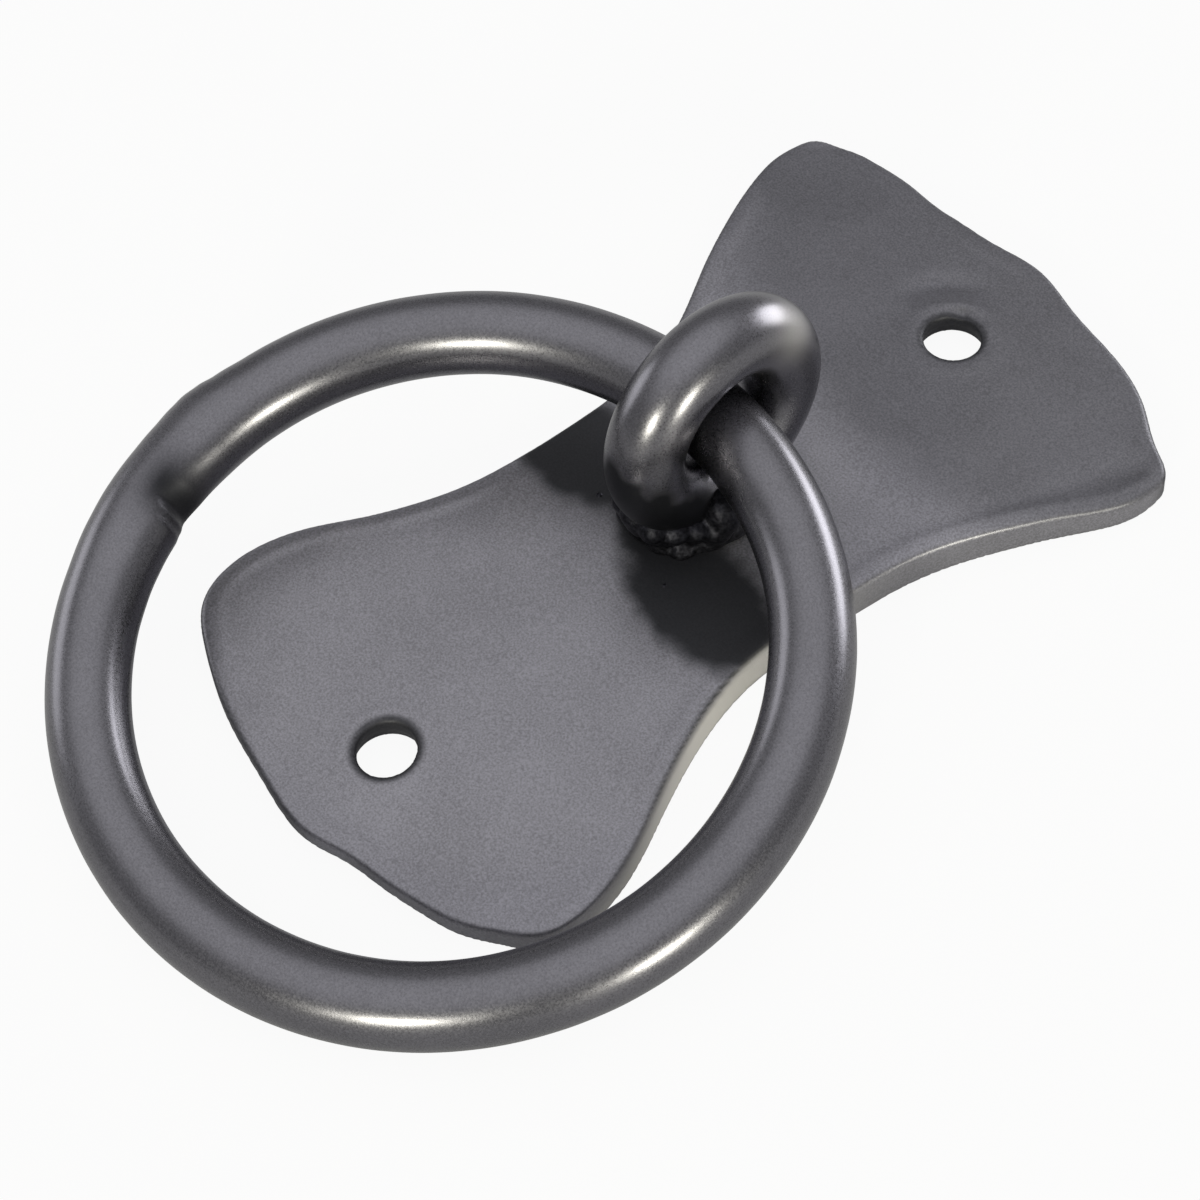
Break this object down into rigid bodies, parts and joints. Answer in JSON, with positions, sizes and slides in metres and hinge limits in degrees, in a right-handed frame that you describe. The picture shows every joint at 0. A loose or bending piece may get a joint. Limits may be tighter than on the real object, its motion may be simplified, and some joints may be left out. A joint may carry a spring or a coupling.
{
  "type": "ring pull handle",
  "caption": "Hammered bow-tie back plate with screw holes, a round-bar eye welded upright on it, and a round-bar pull ring that swings in the eye.",
  "frame": {"origin": "on the plate's back face, midway between the two screw holes", "axes": "+Z out of the plate's front, +Y along the line of the holes away from the side that the ring lies on, +X to the right seen from the front"},
  "size_m": [0.0625, 0.095, 0.0245],
  "materials": {
    "plate_coat": "satin black powder coat on hammered steel plate",
    "bar_coat": "satin black powder coat on round steel bar",
    "weld_coat": "dull black powder coat on a rough weld bead"
  },
  "bodies": {
    "plate_and_eye": {"back_plate": "plate_coat", "eye_ring": "bar_coat", "eye_weld_left": "weld_coat", "eye_weld_right": "weld_coat"},
    "pull": {"pull_ring": "bar_coat"}
  },
  "joints": [
    {"name": "ring_swing", "type": "hinge", "parent": "plate_and_eye", "child": "pull", "pos_m": [-0.00049, 0.00436, 0.01349], "axis": [-0.9951, -0.0348, 0.0924], "range_deg": [0, 198]}
  ]
}
